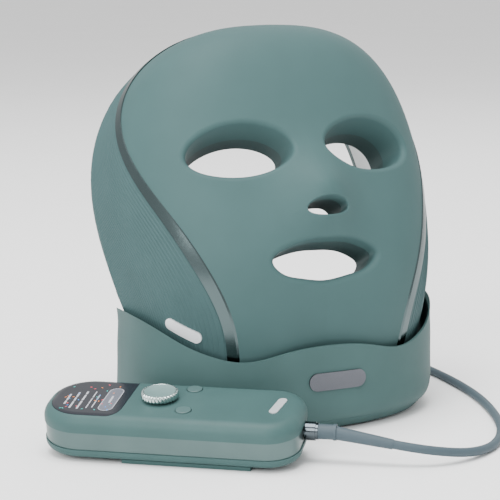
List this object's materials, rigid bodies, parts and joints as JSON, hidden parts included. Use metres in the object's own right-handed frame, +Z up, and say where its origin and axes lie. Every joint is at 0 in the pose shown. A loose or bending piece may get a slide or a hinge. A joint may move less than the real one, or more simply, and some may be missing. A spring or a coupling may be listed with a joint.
{
  "type": "led face mask",
  "caption": "Rigid light-therapy face mask with eye, nose and mouth openings, resting in a cradle stand, with a wired handheld controller that has a display, dial and buttons.",
  "frame": {"origin": "centre of the underside of the stand, on the surface it stands on", "axes": "+Z up, the mask faces -Y, +X to the right of a viewer in front of it"},
  "size_m": [0.2536, 0.2354, 0.2006],
  "materials": {
    "mask_shell": "soft satin sage moulded plastic",
    "side_panel": "finely ribbed sage plastic",
    "trim": "dark satin metal strip",
    "inner_lens": "milky diffuser",
    "circuit_board": "green solder mask",
    "led": "clear yellow-white lens",
    "silicone": "soft matt silicone",
    "cheek_metal": "polished anodised plate",
    "heat_metal": "plain anodised",
    "fan_plastic": "black moulded",
    "rear_plastic": "sage moulded",
    "screw_steel": "plated steel",
    "badge_metal": "satin bright metal",
    "gland_rubber": "grey-green rubber",
    "stand_shell": "soft satin sage moulded plastic",
    "pad_rubber": "black rubber",
    "ballast_steel": "black painted steel",
    "remote_case": "soft satin sage moulded plastic",
    "remote_band": "satin anodised band",
    "display_glass": "black gloss window",
    "display_panel": "dark display",
    "socket_metal": "plated shell",
    "dial_metal": "knurled bright rim",
    "dial_cap": "satin dished disc",
    "switch_plastic": "black moulded",
    "button_plastic": "sage moulded",
    "battery_wrap": "blue wrap",
    "collar_metal": "polished",
    "boot_rubber": "matt grey-green rubber",
    "cord_jacket": "matt grey-green jacket"
  },
  "bodies": {
    "stand": {"remote_board": "circuit_board", "stand_screws": "screw_steel", "remote_screws": "screw_steel", "stand_badge": "badge_metal", "remote_badge": "badge_metal", "stand_shell": "stand_shell", "stand_foot": "stand_shell", "base_pad": "pad_rubber", "chin_pad_left": "pad_rubber", "chin_pad_right": "pad_rubber", "ballast_plate": "ballast_steel", "remote_top_case": "remote_case", "remote_bottom_case": "remote_case", "belt_clip": "remote_case", "remote_band": "remote_band", "display_glass": "display_glass", "display_panel": "display_panel", "charging_socket": "socket_metal", "encoder_body": "switch_plastic", "tact_switches": "switch_plastic", "battery_cell": "battery_wrap", "cord_collar": "collar_metal", "strain_relief": "boot_rubber", "cord_lead": "cord_jacket", "cord_coil": "cord_jacket", "cord_tail": "cord_jacket"},
    "mask": {"front_shell": "mask_shell", "side_panel_left": "side_panel", "side_panel_right": "side_panel", "trim_left": "trim", "trim_right": "trim", "inner_lens": "inner_lens", "led_board": "circuit_board", "driver_board": "circuit_board", "leds": "led", "eye_cup_left": "silicone", "eye_cup_right": "silicone", "nose_ring": "silicone", "mouth_ring": "silicone", "face_seal": "silicone", "forehead_pad": "silicone", "cheek_plate_left": "cheek_metal", "cheek_plate_right": "cheek_metal", "cooler_left": "heat_metal", "cooler_right": "heat_metal", "heat_sink_left": "heat_metal", "heat_sink_right": "heat_metal", "fan_body_left": "fan_plastic", "fan_body_right": "fan_plastic", "rear_frame": "rear_plastic", "mask_screws": "screw_steel", "mask_badge": "badge_metal", "mask_gland": "gland_rubber"},
    "fan_left": {"fan_rotor_left": "fan_plastic"},
    "fan_right": {"fan_rotor_right": "fan_plastic"},
    "dial_plunger": {"encoder_plunger": "switch_plastic"},
    "dial": {"dial_knob": "dial_metal", "dial_cap": "dial_cap"},
    "power_button": {"power_button": "button_plastic"},
    "back_button": {"back_button": "button_plastic"}
  },
  "joints": [
    {"name": "mask_lift", "type": "slide", "parent": "stand", "child": "mask", "axis": [0, 0, 1], "range_m": [0, 0.08]},
    {"name": "fan_left_spin", "type": "hinge", "parent": "mask", "child": "fan_left", "pos_m": [-0.0776, 0.02469, 0.10391], "axis": [1, 0, 0], "continuous": true},
    {"name": "fan_right_spin", "type": "hinge", "parent": "mask", "child": "fan_right", "pos_m": [0.0776, 0.02469, 0.10391], "axis": [1, 0, 0], "continuous": true},
    {"name": "dial_press", "type": "slide", "parent": "stand", "child": "dial_plunger", "axis": [0.106, 0.1376, -0.9848], "range_m": [0, 0.0005], "stiffness_N_per_m": 1500},
    {"name": "dial_spin", "type": "hinge", "parent": "dial_plunger", "child": "dial", "pos_m": [-0.08946, -0.04104, 0.02567], "axis": [-0.106, -0.1376, 0.9848], "continuous": true},
    {"name": "power_press", "type": "slide", "parent": "stand", "child": "power_button", "axis": [0.106, 0.1376, -0.9848], "range_m": [0, 0.0006], "stiffness_N_per_m": 800},
    {"name": "back_press", "type": "slide", "parent": "stand", "child": "back_button", "axis": [0.106, 0.1376, -0.9848], "range_m": [0, 0.0006], "stiffness_N_per_m": 800}
  ]
}
